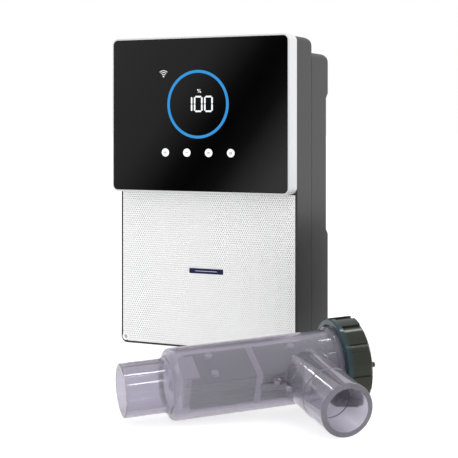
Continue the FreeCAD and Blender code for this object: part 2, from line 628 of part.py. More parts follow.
def make_ribbon_cable():
    """A flat cable from the display board, through the casing's slot, to the power board."""
    bend = RIBBON_BEND
    start = board_rear + 2.0
    drop = seam + 4.0
    low = ribbon_low_z
    lines = [Part.LineSegment(V(0, start, ribbon_z), V(0, drop - bend, ribbon_z)).toShape(),
             arc((drop - bend, ribbon_z), (drop, ribbon_z - bend), (drop - bend, ribbon_z - bend), bend),
             Part.LineSegment(V(0, drop, ribbon_z - bend), V(0, drop, low + bend)).toShape(),
             arc((drop, low + bend), (drop + bend, low), (drop + bend, low + bend), bend),
             Part.LineSegment(V(0, drop + bend, low), V(0, power_face, low)).toShape()]
    path = Part.Wire(lines)
    x, z = RIBBON_W / 2, RIBBON_T / 2
    corners = [V(-x, start, ribbon_z - z), V(x, start, ribbon_z - z), V(x, start, ribbon_z + z),
               V(-x, start, ribbon_z + z), V(-x, start, ribbon_z - z)]
    profile = Part.Wire(Part.makePolygon(corners))
    save("ribbon_cable", path.makePipeShell([profile], True, True))


def arc(first, last, centre, radius):
    """A quarter circle in the YZ plane at X = 0."""
    middle_dir = (V(0, *first) + V(0, *last)) * 0.5 - V(0, *centre)
    middle = V(0, *centre) + middle_dir.normalize() * radius
    return Part.Arc(V(0, *first), middle, V(0, *last)).toShape()


# ---------------------------------------------------------------- terminals, switch and glands
def make_terminals():
    y = (terminal_face, terminal_face + BOARD_T)
    board = block((-power_half, power_half), y, terminal_z)
    for x, z in terminal_spots:
        board = board.cut(rod(SCREW_R + 0.1, (x, y[0] - 1, z), (x, y[1] + 1, z)))
    save("terminal_board", board)
    posts = [rod(4.0, (x, y[1], z), (x, back - WALL, z)).fuse(rod(SCREW_R, (x, y[0] - 1.5, z), (x, y[1], z)))
             for x, z in terminal_spots]
    save("terminal_posts", *posts)
    terminal_strip("mains_terminals", -78.0, 3, 11.0, 20.0, 22.0, terminal_z[0] + 18.0)
    terminal_strip("cell_terminals", -34.0, 3, 15.0, 24.0, 26.0, terminal_z[0] + 16.0)
    terminal_strip("signal_terminals", 22.0, 8, 7.0, 12.0, 14.0, terminal_z[0] + 22.0)


def terminal_strip(name, x0, ways, pitch, depth, height, z0):
    """A screw terminal strip: a wire hole below and a sunk screw for each way."""
    y = (terminal_face - depth, terminal_face)
    strip = block((x0, x0 + ways * pitch), y, (z0, z0 + height))
    top_edges = [e for e in strip.Edges
                 if abs(e.CenterOfMass.y - y[0]) < 1e-3 and abs(e.CenterOfMass.z - z0 - height) < 1e-3]
    strip = strip.makeChamfer(depth / 5, top_edges)
    for i in range(ways):
        x = x0 + (i + 0.5) * pitch
        strip = strip.cut(block((x - pitch * 0.32, x + pitch * 0.32), (y[0] + 3.0, y[0] + depth * 0.6),
                                (z0 - 1, z0 + height * 0.4)))
        screw_z = z0 + height * 0.6
        strip = strip.cut(rod(pitch * 0.3, (x, y[0] - 1, screw_z), (x, y[0] + 4.0, screw_z)))
    save(name, strip)


def make_switch():
    """A rocker switch that faces down in the cable bay, pressed to one side at rest."""
    wide = ROCKER_W / 2
    deep = ROCKER_D / 2
    flange = block((rocker_x - wide - 2.0, rocker_x + wide + 2.0), (bay_y - deep - 2.0, bay_y + deep + 2.0),
                   (BAY_H - 2.0, BAY_H))
    body = block((rocker_x - wide, rocker_x + wide), (bay_y - deep, bay_y + deep), (BAY_H, BAY_H + 22.0))
    pocket = block((rocker_x - wide + 2.0, rocker_x + wide - 2.0), (bay_y - deep + 2.5, bay_y + deep - 2.5),
                   (BAY_H - 3.0, BAY_H + 16.0))
    pivot_z = BAY_H + ROCKER_PIVOT_H
    pin = deep - 1.1
    hole = rod(ROCKER_PIN_R + 0.05, (rocker_x, bay_y - pin - 0.1, pivot_z), (rocker_x, bay_y + pin + 0.1, pivot_z))
    save("switch_frame", cut_all(flange.fuse(body), [pocket, hole]).removeSplitter())
    outline = [(4.5 - wide, -10.0), (0.0, -8.4), (wide - 4.5, -10.0), (wide - 7.0, 3.0), (7.0 - wide, 3.0)]
    key_half = deep - 2.9
    points = [V(rocker_x + x, bay_y - key_half, pivot_z + z) for x, z in outline]
    key = Part.Face(Part.makePolygon(points + points[:1])).extrude(V(0, 2 * key_half, 0))
    key = key.fuse(rod(ROCKER_PIN_R, (rocker_x, bay_y - pin, pivot_z), (rocker_x, bay_y + pin, pivot_z)))
    key.rotate(V(rocker_x, bay_y, pivot_z), Y_AXIS, -ROCKER_TILT)
    save("power_rocker", key.removeSplitter())


def make_glands():
    bodies = []
    caps = []
    seals = []
    locknuts = []
    ceiling = BAY_H
    for x in gland_xs:
        def centre(z):
            return (x, bay_y, z)
        body = rod(GLAND_R, centre(ceiling - 10.0), centre(ceiling + WALL + 7.0))
        body = body.fuse(hexagon(22.0, centre(ceiling - 4.0), centre(ceiling)))
        body = body.cut(rod(GLAND_R - GLAND_WALL, centre(ceiling - 11.0), centre(ceiling + WALL + 8.0)))
        bodies.append(body.removeSplitter())
        cap = rod(GLAND_R + 2.6, centre(ceiling - 18.0), centre(ceiling - 4.0))
        cap = cap.makeFillet(2.0, [e for e in cap.Edges if abs(e.CenterOfMass.z - ceiling + 18.0) < 1e-3])
        cap = cut_all(cap, [rod(GLAND_R + FIT, centre(ceiling - 15.0), centre(ceiling - 3.0)),
                            rod(GLAND_BORE_R + 1.0, centre(ceiling - 19.0), centre(ceiling - 14.0))])
        for i in range(12):
            turn = math.radians(30 * i)
            spot = (x + (GLAND_R + 3.4) * math.cos(turn), bay_y + (GLAND_R + 3.4) * math.sin(turn))
            cap = cap.cut(rod(1.3, (spot[0], spot[1], ceiling - 14.0), (spot[0], spot[1], ceiling - 3.0)))
        caps.append(cap)
        seals.append(tube(GLAND_R - GLAND_WALL - 0.05, GLAND_BORE_R, centre(ceiling - 15.0), centre(ceiling)))
        locknuts.append(hexagon(21.0, centre(ceiling + WALL), centre(ceiling + WALL + 5.0)).cut(
            rod(GLAND_R + 0.05, centre(ceiling), centre(ceiling + 12.0))))
    save("gland_bodies", *bodies)
    save("gland_caps", *caps)
    save("gland_seals", *seals)
    save("gland_locknuts", *locknuts)


# ---------------------------------------------------------------- wall bracket
def make_bracket():
    rear = block((-bracket_half, bracket_half), (back - BRACKET_T, back), bracket_z)
    shape = rear
    for sx in (-1, 1):
        web = sorted((sx * (bracket_half - BRACKET_T), sx * bracket_half))
        foot = sorted((sx * (bracket_half - BRACKET_T), sx * (bracket_half + BRACKET_FOOT)))
        shape = shape.fuse(block(web, (recess_back, back), bracket_z))
        shape = shape.fuse(block(foot, (recess_back, recess_back + BRACKET_T), bracket_z))
    for sx in (-1, 1):
        for sz in (-1, 1):
            x, z = sx * HOLE_SPACING_X / 2, bracket_mid + sz * HOLE_SPACING_Z / 2
            shape = shape.cut(rod(WALL_HOLE_R, (x, back - BRACKET_T - 1, z), (x, back + 1, z)))
    for x, z in bracket_screw_spots:
        shape = shape.cut(rod(SCREW_R + FIT, (x, recess_back - 1, z), (x, recess_back + BRACKET_T + 1, z)))
    save("wall_bracket", shape.removeSplitter())
    screws = []
    for x, z in bracket_screw_spots:
        seat = recess_back + BRACKET_T
        shank = rod(SCREW_R - 0.05, (x, recess_back - 6.5, z), (x, seat, z))
        head = rod(HEAD_R, (x, seat, z), (x, seat + 2.2, z))
        socket = hexagon(2.5, (x, seat + 1.0, z), (x, seat + 3.0, z))
        screws.append(shank.fuse(head).cut(socket))
    save("bracket_screws", *screws)


# ---------------------------------------------------------------- cell
# The cell is drawn along its own X axis, from the spigot's end to the nut, with the outlet
# towards its own -Y. It then rests on its shoulder, its nut and the outlet's rim.
def cell_pose():
    pitch = math.atan2(nut_r - BODY_R, nut_x + NUT_EDGE - shoulder_x)

    def height(x):
        """Height of the axis at x, with the shoulder on the surface."""
        return BODY_R * math.cos(pitch) + (x - shoulder_x) * math.sin(pitch)

    reach = math.hypot(BRANCH_L, SPIGOT_R)
    dip = math.asin(height(branch_x) / reach) - math.atan2(SPIGOT_R, BRANCH_L)
    angle = math.radians(BRANCH_ANGLE)
    roll = math.asin((math.cos(angle) * math.sin(pitch) + math.sin(dip)) / (math.sin(angle) * math.cos(pitch)))
    yaw = math.radians(CELL_YAW)
    along = V(math.cos(pitch) * math.cos(yaw), math.cos(pitch) * math.sin(yaw), math.sin(pitch))
    level = Z_AXIS.cross(along).normalize()
    upward = along.cross(level)
    across = level * math.cos(roll) + upward * math.sin(roll)
    normal = along.cross(across)
    start = V(CELL_AT[0], CELL_AT[1], height(0))
    matrix = FreeCAD.Matrix(along.x, across.x, normal.x, start.x,
                            along.y, across.y, normal.y, start.y,
                            along.z, across.z, normal.z, start.z, 0, 0, 0, 1)
    return FreeCAD.Placement(matrix)


POSE = cell_pose()


def save_cell(name, *shapes):
    placed = []
    for shape in shapes:
        shape = shape.copy()
        shape.Placement = POSE.multiply(shape.Placement)
        placed.append(shape)
    save(name, *placed)


def turned(shape):
    """Turn a piece of the plate pack, or what lines up with it, about the cell's axis."""
    shape = shape.copy()
    shape.rotate(V(0, 0, 0), X_AXIS, STACK_ROLL)
    return shape


def revolve(outline):
    """Revolve a closed wire of (x, r) edges about the cell's axis."""
    return Part.Face(Part.Wire(outline)).revolve(V(0, 0, 0), X_AXIS, 360)


def line(p, q):
    return Part.makeLine(V(p[0], p[1], 0), V(q[0], q[1], 0))


def s_curve(p, q):
    """Two equal arcs that join two level lines."""
    dx, dy = q[0] - p[0], q[1] - p[1]
    radius = (dx * dx + dy * dy) / (4 * abs(dy))
    mid = V((p[0] + q[0]) / 2, (p[1] + q[1]) / 2, 0)
    half = math.atan2(abs(dy), dx)
    up = 1 if dy > 0 else -1
    first = V(p[0] + radius * math.sin(half), p[1] + up * radius * (1 - math.cos(half)), 0)
    last = V(q[0] - radius * math.sin(half), q[1] - up * radius * (1 - math.cos(half)), 0)
    return [Part.Arc(V(p[0], p[1], 0), first, mid).toShape(), Part.Arc(mid, last, V(q[0], q[1], 0)).toShape()]


def chamber_solid():
    """Everything that water fills along the axis."""
    inner_x = SPIGOT_L + PIPE_WALL / 2
    edges = [line((-1, 0), (-1, bore_r)), line((-1, bore_r), (inner_x, bore_r))]
    edges += s_curve((inner_x, bore_r), (inner_x + SHOULDER_L, chamber_r))
    edges += [line((inner_x + SHOULDER_L, chamber_r), (MOUTH_X + 1, chamber_r)),
              line((MOUTH_X + 1, chamber_r), (MOUTH_X + 1, 0)), line((MOUTH_X + 1, 0), (-1, 0))]
    return revolve(edges)


def make_cell_housing():
    edges = [line((0, 0), (0, SPIGOT_R - RIM_ROUND)),
             line((0, SPIGOT_R - RIM_ROUND), (RIM_ROUND / 2, SPIGOT_R)),
             line((RIM_ROUND / 2, SPIGOT_R), (SPIGOT_L, SPIGOT_R))]
    edges += s_curve((SPIGOT_L, SPIGOT_R), (shoulder_x, BODY_R))
    edges.append(line((shoulder_x, BODY_R), (collar_x - COLLAR_RISE, BODY_R)))
    points = [(collar_x - COLLAR_RISE, BODY_R), (collar_x, collar_r)]
    ridge_x = nut_x + NUT_EDGE
    while ridge_x + THREAD_PITCH * 0.75 < MOUTH_X:
        points += [(ridge_x, collar_r), (ridge_x + THREAD_PITCH * 0.2, thread_r),
                   (ridge_x + THREAD_PITCH * 0.4, thread_r), (ridge_x + THREAD_PITCH * 0.6, collar_r)]
        ridge_x += THREAD_PITCH
    points += [(MOUTH_X, collar_r), (MOUTH_X, 0), (0, 0)]
    edges += [line(p, q) for p, q in zip(points, points[1:])]
    body = revolve(edges)
    body = body.fuse(outlet_bar(branch_r, SPIGOT_R, SPIGOT_L, BRANCH_L)).removeSplitter()
    seam_edges = [e for e in body.Edges if is_branch_seam(e)]
    body = body.makeFillet(FILLET_R, seam_edges)
    rim = [e for e in body.Edges if is_branch_rim(e)]
    body = body.makeFillet(RIM_ROUND, rim)
    body = join_all([body, web_solid(), lug_solid()])
    bore = outlet_bar(bore_r - BRANCH_STEP, bore_r, BRANCH_BORE_L, BRANCH_L + 1)
    body = cut_all(body, [chamber_solid(), bore, lug_hole()])
    save_cell("cell_housing", body.removeSplitter())


def outlet_bar(root_radius, end_radius, straight, length):
    """A round bar along the outlet, `end_radius` over its last `straight` millimetres."""
    end_start = branch_root + branch_dir * (length - straight)
    slope_start = end_start - branch_dir * BRANCH_EASE
    root = Part.makeCylinder(root_radius, length - straight - BRANCH_EASE, branch_root, branch_dir)
    slope = Part.makeCone(root_radius, end_radius, BRANCH_EASE, slope_start, branch_dir)
    end = Part.makeCylinder(end_radius, straight, end_start, branch_dir)
    return join_all([root, slope, end])


def is_branch_seam(edge):
    """True where the outlet meets the body."""
    if edge.Length < SPIGOT_R:
        return False
    spots = [edge.valueAt(edge.FirstParameter + k * (edge.LastParameter - edge.FirstParameter) / 6)
             for k in range(7)]
    on_body = all(abs(math.hypot(p.y, p.z) - BODY_R) < 1e-2 for p in spots)
    on_branch = all(abs(p.distanceToLine(branch_root, branch_dir) - branch_r) < 1e-2 for p in spots)
    return on_body and on_branch


def is_branch_rim(edge):
    end = branch_root + branch_dir * BRANCH_L
    return edge.CenterOfMass.distanceToPoint(end) < 1e-2 and abs(edge.Length - 2 * math.pi * SPIGOT_R) < 0.1


def web_solid():
    """A web in the corner between body and outlet, with a hollow edge."""
    z = -WEB_THICK / 2
    a = V(web_x - WEB_RUN, -BODY_R + 1.5, z)
    b = V(web_x + 8.0, -BODY_R + 1.5, z)
    c = V(web_x + 8.0, -BODY_R - WEB_REACH, z)
    middle = V(web_x - WEB_RUN * 0.22, -BODY_R - WEB_REACH * 0.32, z)
    wire = Part.Wire([Part.makeLine(a, b), Part.makeLine(b, c), Part.Arc(c, middle, a).toShape()])
    return Part.Face(wire).extrude(V(0, 0, WEB_THICK))


def lug_solid():
    return Part.makeCylinder(BOSS_LUG_R, WEB_THICK / 2 + BOSS_RISE, V(lug_x, lug_y, 0), Z_AXIS)


def lug_hole():
    return Part.makeCylinder(BOSS_HOLE_R, BOSS_RISE + 1, V(lug_x, lug_y, WEB_THICK / 2), Z_AXIS)


def make_nut():
    """The union nut: smooth ring by the mouth, raised pads round it and a lip over the head."""
    end_x = lip_x + NUT_LIP
    base_r = nut_r - PAD_H
    chamfer = NUT_CHAMFER
    points = [(nut_x, thread_r + NUT_GAP), (nut_x, nut_r - NUT_EDGE), (nut_x + NUT_EDGE, nut_r),
              (nut_x + NUT_RING_L, nut_r), (nut_x + NUT_RING_L, base_r),
              (end_x - chamfer, base_r), (end_x, base_r - chamfer), (end_x, lip_r), (lip_x, lip_r),
              (lip_x, thread_r + NUT_GAP), (nut_x, thread_r + NUT_GAP)]
    nut = revolve([line(p, q) for p, q in zip(points, points[1:])])
    for i in range(NUT_PADS):
        pad = Part.makeCylinder(nut_r, end_x - chamfer - nut_x - NUT_RING_L + 0.5,
                                V(nut_x + NUT_RING_L - 0.5, 0, 0), X_AXIS, PAD_DEG)
        pad = pad.cut(Part.makeCylinder(base_r - 1.0, end_x, V(0, 0, 0), X_AXIS))
        pad.rotate(V(0, 0, 0), X_AXIS, i * 360.0 / NUT_PADS)
        nut = nut.fuse(pad)
    save_cell("union_nut", nut.removeSplitter())
    washer = tube(thread_r, lip_r + 0.5, (lip_x - WASHER_T, 0, 0), (lip_x, 0, 0))
    save_cell("thrust_washer", washer)


def make_electrode_head():
    plug_r = chamber_r - PLUG_GAP
    groove_x = MOUTH_X - HEAD_PLUG_L / 2
    ring_r = plug_r + O_RING_SQUEEZE - O_RING_R
    plug_x = MOUTH_X - HEAD_PLUG_L
    points = [(plug_x, 0), (plug_x, plug_r - 1.0), (plug_x + 1.0, plug_r),
              (groove_x - O_RING_R, plug_r), (groove_x - O_RING_R, ring_r - O_RING_R),
              (groove_x + O_RING_R, ring_r - O_RING_R), (groove_x + O_RING_R, plug_r), (flange_x, plug_r),
              (flange_x, collar_r), (flange_x + HEAD_FLANGE_T, collar_r), (flange_x + HEAD_FLANGE_T, boss_r),
              (flange_x + HEAD_FLANGE_T + HEAD_BOSS_L, boss_r), (flange_x + HEAD_FLANGE_T + HEAD_BOSS_L, 0)]
    head = revolve([line(p, q) for p, q in zip(points, points[1:] + points[:1])])
    for y, z in stud_spots:
        head = head.cut(turned(rod(STUD_R, (bar_end, y, z), (flange_x + 30.0, y, z))))
    save_cell("electrode_head", head)
    ring = Part.makeTorus(ring_r, O_RING_R, V(groove_x, 0, 0), X_AXIS)
    save_cell("head_o_ring", ring)
    outer_x = flange_x + HEAD_FLANGE_T + HEAD_BOSS_L
    tip_x = flange_x + HEAD_FLANGE_T + STUD_OUT
    studs = []
    washers = []
    nuts = []
    for y, z in stud_spots:
        stud = rod(STUD_R, (bar_end, y, z), (tip_x, y, z))
        stud = stud.makeChamfer(0.6, [e for e in stud.Edges if abs(e.CenterOfMass.x - tip_x) < 1e-3])
        studs.append(turned(stud))
        washers.append(turned(tube(4.8, STUD_R, (outer_x, y, z), (outer_x + 1.0, y, z))))
        nuts.append(turned(hexagon(8.0, (outer_x + 1.0, y, z), (outer_x + 5.0, y, z)).cut(
            rod(STUD_R, (outer_x, y, z), (outer_x + 6.0, y, z)))))
    save_cell("terminal_studs", *studs)
    save_cell("terminal_washers", *washers)
    save_cell("terminal_nuts", *nuts)
    probe_y, probe_z = stud_spots[2]
    probe = rod(STUD_R, (plate_end + PROBE_GAP, probe_y, probe_z), (bar_end, probe_y, probe_z))
    save_cell("flow_probe", turned(probe))


def make_plates():
    """Anodes and cathodes lie in turn, and their tabs stand on opposite sides."""
    groups = {"anode_plates": [], "cathode_plates": []}
    for i, z in enumerate(plate_levels):
        sheet = block((plate_start, plate_end), (-plate_half, plate_half), (z - PLATE_T / 2, z + PLATE_T / 2))
        side = 1 if i % 2 == 0 else -1
        y = sorted((side * TAB_INSET, side * (plate_half - TAB_MARGIN)))
        sheet = sheet.fuse(block((plate_end - 1, bar_x), y, (z - PLATE_T / 2, z + PLATE_T / 2)))
        for x, y in bolt_spots:
            sheet = sheet.cut(rod(BOLT_R + FIT, (x, y, z - 2), (x, y, z + 2)))
        name = "anode_plates" if i % 2 == 0 else "cathode_plates"
        groups[name].append(turned(sheet.removeSplitter()))
    for name, sheets in groups.items():
        save_cell(name, *sheets)
    top = plate_levels[-1] + 2.0
    for name, side in (("anode_busbar", 1), ("cathode_busbar", -1)):
        y = sorted((side * TAB_INSET, side * (plate_half - TAB_MARGIN)))
        save_cell(name, turned(block((bar_x, bar_end), y, (-top, top))))


def make_pack_hardware():
    top = plate_levels[-1] + PLATE_T / 2
    bolts = []
    nuts = []
    for x, y in bolt_spots:
        shank = rod(BOLT_R, (x, y, -top - 3.5), (x, y, top))
        bolts.append(turned(shank.fuse(rod(BOLT_HEAD_R, (x, y, top), (x, y, top + 2.5)))))
        nuts.append(turned(hexagon(6.5, (x, y, -top - 3.0), (x, y, -top)).cut(
            rod(BOLT_R, (x, y, -top - 4), (x, y, -top + 1)))))
    save_cell("spacer_bolts", *bolts)
    save_cell("spacer_nuts", *nuts)
    rings = []
    for low, high in zip(plate_levels, plate_levels[1:]):
        for x, y in bolt_spots:
            ring = tube(BOLT_HEAD_R, BOLT_R + FIT, (x, y, low + PLATE_T / 2), (x, y, high - PLATE_T / 2))
            rings.append(turned(ring))
    save_cell("plate_spacers", *rings)
    band = band_block(plate_half + BAND_WALL, top + BAND_WALL, 3.0)
    save_cell("centre_band", turned(band.cut(band_block(plate_half + FIT, top + FIT, 0.0, BAND_W))))
    comb_x = (plate_start - COMB_L / 2, plate_start + COMB_L / 2)
    end_bar = block(comb_x, (-COMB_W / 2, COMB_W / 2), (-top - COMB_PROUD, top + COMB_PROUD))
    save_comb("end_comb", [end_bar], comb_x[0] + COMB_BACK)
    rails = []
    for side in (-1, 1):
        y = sorted((side * (plate_half - 4.0), side * (plate_half + COMB_PROUD)))
        rails.append(block((plate_end - COMB_L, plate_end - COMB_L / 2), y, (2.0 - top, top - 2.0)))
    save_comb("head_comb", rails, plate_end - COMB_L - 1)


def band_block(half_y, half_z, radius, longer=0.0):
    """A block across the middle of the pack, its long edges rounded by `radius`."""
    mid = (plate_start + plate_end) / 2
    reach = (BAND_W + longer) / 2
    shape = block((mid - reach, mid + reach), (-half_y, half_y), (-half_z, half_z))
    if radius == 0.0:
        return shape
    edges = [e for e in shape.Edges if abs(e.Vertexes[0].X - e.Vertexes[-1].X) > 1]
    return shape.makeFillet(radius, edges)


def save_comb(name, shapes, slot_x):
    """Plastic combs whose slots, open from slot_x towards the head, hold the plates apart."""
    slots = [block((slot_x, plate_end), (-plate_half - 0.05, plate_half + 0.05),
                   (z - PLATE_T / 2 - 0.05, z + PLATE_T / 2 + 0.05)) for z in plate_levels]
    save_cell(name, *[turned(cut_all(shape, slots)) for shape in shapes])


# ---------------------------------------------------------------- build
make_front_casing()
make_rear_housing()
make_casing_gasket()
make_casing_screws()
make_display_bezel()
make_display_glass()
make_display_screws()
make_display_board()
make_lower_cover()
make_power_board()
make_transformer()
make_power_parts()
make_ribbon_cable()
make_terminals()
make_switch()
make_glands()
make_bracket()
make_cell_housing()
make_nut()
make_electrode_head()
make_plates()
make_pack_hardware()

axis = POSE.Rotation.multVec(X_AXIS)
outlet = POSE.Rotation.multVec(branch_dir)
print("cell axis", axis, "spigot end", POSE.Base)
print("outlet direction", outlet, "outlet end", POSE.multVec(branch_root + branch_dir * BRANCH_L))
print("rocker pivot", rocker_x, bay_y, BAY_H + ROCKER_PIVOT_H)
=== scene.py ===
import json
import math

import bpy
from mathutils import Matrix, Vector


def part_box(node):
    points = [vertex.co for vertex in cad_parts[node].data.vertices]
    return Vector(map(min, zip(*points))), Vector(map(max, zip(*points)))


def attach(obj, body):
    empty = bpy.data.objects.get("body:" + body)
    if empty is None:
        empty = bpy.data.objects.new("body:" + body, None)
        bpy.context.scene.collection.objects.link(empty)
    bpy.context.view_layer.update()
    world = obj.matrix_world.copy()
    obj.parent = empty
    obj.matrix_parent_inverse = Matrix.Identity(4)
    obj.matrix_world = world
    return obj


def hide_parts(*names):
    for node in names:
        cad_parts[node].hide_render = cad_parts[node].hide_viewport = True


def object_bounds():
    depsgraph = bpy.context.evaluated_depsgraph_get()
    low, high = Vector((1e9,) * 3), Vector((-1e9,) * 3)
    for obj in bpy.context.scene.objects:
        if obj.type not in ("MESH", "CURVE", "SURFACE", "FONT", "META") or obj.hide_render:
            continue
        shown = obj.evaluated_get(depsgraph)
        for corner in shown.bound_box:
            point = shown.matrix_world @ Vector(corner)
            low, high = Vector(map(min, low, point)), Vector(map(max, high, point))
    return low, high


MM = 0.001

# camera
CAMERA_AT = (0.65732, -1.37752, 0.27379)
CAMERA_YAW = 25.293          # degrees
CAMERA_LENS = 94.81
CAMERA_SHIFT_Y = -0.2251

# lower cover: its dimples, the seats round its screws and the badge's rule
DIMPLE_PITCH = 2.8 * MM
DIMPLE_ROW = 2.7 * MM
DIMPLE_R = 1.0 * MM
DIMPLE_FLOOR_R = 0.8 * MM
DIMPLE_DEPTH = 1.7 * MM
COVER_CORNER = 7.8 * MM
COVER_INSET = 0.6 * MM       # face stands in from the casing's edge at each side
SCREW_CLEAR_R = 3.2 * MM     # cells whose middle is nearer a screw than this are left open
SEAT_BORE_R = 2.5 * MM
SEAT_R = 4.7 * MM
SEAT_OUT = 0.1 * MM          # out of the cover's face, and into it
SEAT_IN = 1.5 * MM
RULE_INSET = 8.0 * MM        # from each end of the badge
RULE_H = 0.6 * MM
RULE_OUT = 0.08 * MM         # out of the badge's face, and into it
RULE_IN = 0.1 * MM

# materials
EDGE_R = 0.5 * MM            # edges look this round
ROUGH_SPREAD = 0.06
PATCH = 40.0                 # colour varies over patches this many times the grain
LIT_DIM = 0.86               # a lit mark's dimmest and brightest places, and its colour when unlit
LIT_BRIGHT = 1.1
LIT_BASE = 0.2
NUT_PAINTED_REFLECTION_L = 8.0 * MM        # painted reflection of the clear collar: teal fades out over this length from the union nut's mouth
NUT_BROWN_TOP = 40.0 * MM    # brown comes in between these two heights
NUT_BROWN_FULL = 5.0 * MM

# lit marks on the glass
LIT_T = 0.12 * MM            # marks stand this far out of the glass
RING_R = 41.5 * MM
RING_STROKE = 3.4 * MM
DIGIT_X = (-13.0 * MM, 0.75 * MM, 14.5 * MM)
DIGIT_DROP = 9.5 * MM        # digits' foot, below the ring's middle
DIGIT_W = 11.7 * MM
DIGIT_H = 19.6 * MM
DIGIT_STROKE = 2.0 * MM
DIGIT_GAP = 0.55 * MM        # between two segments
DIGIT_TRIM = 0.75            # uprights stop this far from the digit's edge, in strokes
DIGIT_CLEAR = 1.4            # flats stop this far from the uprights' middles, in gaps
DIGIT_TAPER = 0.35           # length of a segment's tapered end, in widths
BAR_TIP = 0.45               # width of a bar's tip, in widths
MARK_STROKE = 0.55 * MM
PERCENT_AT = (1.9 * MM, 16.0 * MM)       # from the ring's middle
PERCENT_SLASH = (1.5 * MM, 2.1 * MM)     # half its width, half its height
PERCENT_RINGS = (1.6 * MM, 1.2 * MM)     # its two rings, from the slash's middle
PERCENT_RING_R = (0.35 * MM, 1.0 * MM)   # inside, outside
SIGNAL_FOOT = 0.6 * MM       # arcs' centre, above the lamp's lower edge
SIGNAL_DOT_UP = 0.4 * MM     # dot's middle, above the arcs' centre
SIGNAL_DOT_R = 0.9 * MM
SIGNAL_ARC_R = (3.0 * MM, 5.3 * MM, 7.6 * MM)
SIGNAL_SPAN = (48, 132)      # degrees
SIGNAL_STROKE = 0.76 * MM
KEY_COUNT = 4
KEY_R = 5.0 * MM
KEY_MARK_T = 0.06 * MM       # key marks stand this far out of the keys
KEY_RING_R = (0.7 * MM, 1.3 * MM)        # inside, outside
KEY_RING_SPAN = (-240, 60)   # degrees: open at the top
KEY_STEM = (0.4 * MM, 1.7 * MM)          # from and to, above the ring's middle
KEY_STEM_STROKE = 0.5 * MM
KEY_LINE_L = 3.8 * MM
KEY_LINE_PITCH = 1.2 * MM

# strip lights that the cell's tubes mirror as streaks:
# name, point on the tube, the tube's axis, turn round it in degrees, (width, length), watts
BODY_AXIS = (0.7382, 0.6717, 0.0624)
OUTLET_AXIS = (0.7100, -0.6888, -0.1462)
STREAK_AWAY = 1.0            # from the point on the tube
STREAKS = (
    ("spigot_streak_high", (0.108, -0.405, 0.032), BODY_AXIS, -62, (0.08, 0.07), 0.5),
    ("spigot_streak_mid", (0.108, -0.405, 0.032), BODY_AXIS, -20, (0.05, 0.06), 0.3),
    ("outlet_streak_right", (0.280, -0.360, 0.029), OUTLET_AXIS, -28, (0.03, 0.05), 0.12),
    ("outlet_streak_left", (0.250, -0.330, 0.036), OUTLET_AXIS, 15, (0.03, 0.04), 0.1),
    ("nut_streak", (0.257, -0.270, 0.044), BODY_AXIS, -85, (0.08, 0.1), 0.4),
    ("nut_streak_low", (0.257, -0.270, 0.044), BODY_AXIS, -35, (0.03, 0.1), 0.12),
)

# the rest of the studio
FLOOR_REACH = 30.0
FLOOR_GAP = 0.3 * MM         # floor lies this far under the object
SIDE_BOX_AT = (0.9, 0.15, 0.95)
SIDE_BOX_TO = (0.12, 0.0, 0.36)
SIDE_BOX_SIZE = (0.3, 0.3)
SIDE_BOX_WATTS = 3.0
CARD_AWAY = 2.0              # card that the glass mirrors
CARD_HALF = 0.6
CARD_TURN = 35               # degrees
CARD_SHIFT = 0.5
CARD_STOPS = ((0.0, 0.70), (0.21, 0.62), (0.30, 0.53), (0.42, 0.46), (0.54, 0.04), (0.59, 0.0),
              (0.66, 0.06), (0.79, 0.82), (1.0, 1.0))      # place along the shade, brightness
FLAG_X = 0.19                # black flag beside the unit's dark side
FLAG_Y = (-0.22, 0.20)
FLAG_H = 0.15

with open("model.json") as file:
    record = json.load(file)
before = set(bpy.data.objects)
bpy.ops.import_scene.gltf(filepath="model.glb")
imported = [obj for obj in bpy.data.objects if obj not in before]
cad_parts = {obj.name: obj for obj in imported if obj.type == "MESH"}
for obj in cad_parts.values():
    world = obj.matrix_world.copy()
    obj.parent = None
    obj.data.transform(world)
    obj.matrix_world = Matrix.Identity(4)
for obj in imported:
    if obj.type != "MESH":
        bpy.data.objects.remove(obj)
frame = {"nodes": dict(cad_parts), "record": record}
cad_low, cad_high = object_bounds()
nodes = frame["nodes"]


# ---------------------------------------------------------------- node helpers
def new_material(name):
    material = bpy.data.materials.new(name)
    material.use_nodes = True
    return material, shader_of(material)


def shader_of(material):
    return material.node_tree.nodes["Principled BSDF"]


def add_node(material, kind, **inputs):
    node = material.node_tree.nodes.new(kind)
    for key, value in inputs.items():
        node.inputs[key.replace("_", " ")].default_value = value
    return node


def link(material, source, target):
    material.node_tree.links.new(source, target)


def add_noise(material, scale, detail):
    """Noise that is fixed to the object, as a level from 0 to 1."""
    coords = add_node(material, "ShaderNodeTexCoord")
    noise = add_node(material, "ShaderNodeTexNoise", Scale=scale, Detail=detail)
    link(material, coords.outputs["Object"], noise.inputs["Vector"])
    return noise.outputs["Fac"]


def add_ramp(material, level, low, high):
    """A colour between two, by a level."""
    ramp = add_node(material, "ShaderNodeValToRGB")
    ramp.color_ramp.elements[0].color = (*low, 1)
    ramp.color_ramp.elements[1].color = (*high, 1)
    link(material, level, ramp.inputs["Fac"])
    return ramp.outputs["Color"]


def add_range(material, level, **ends):
    """A level spread from one range to another; the ends are the node's own, such as To_Min."""
    spread = add_node(material, "ShaderNodeMapRange", **ends)
    link(material, level, spread.inputs["Value"])
    return spread.outputs["Result"]


def add_bump(material, level, strength, distance):
    """Relief on the shader's normal, by a level."""
    relief = add_node(material, "ShaderNodeBump", Strength=strength, Distance=distance)
    link(material, level, relief.inputs["Height"])
    link(material, relief.outputs["Normal"], shader_of(material).inputs["Normal"])
    return relief


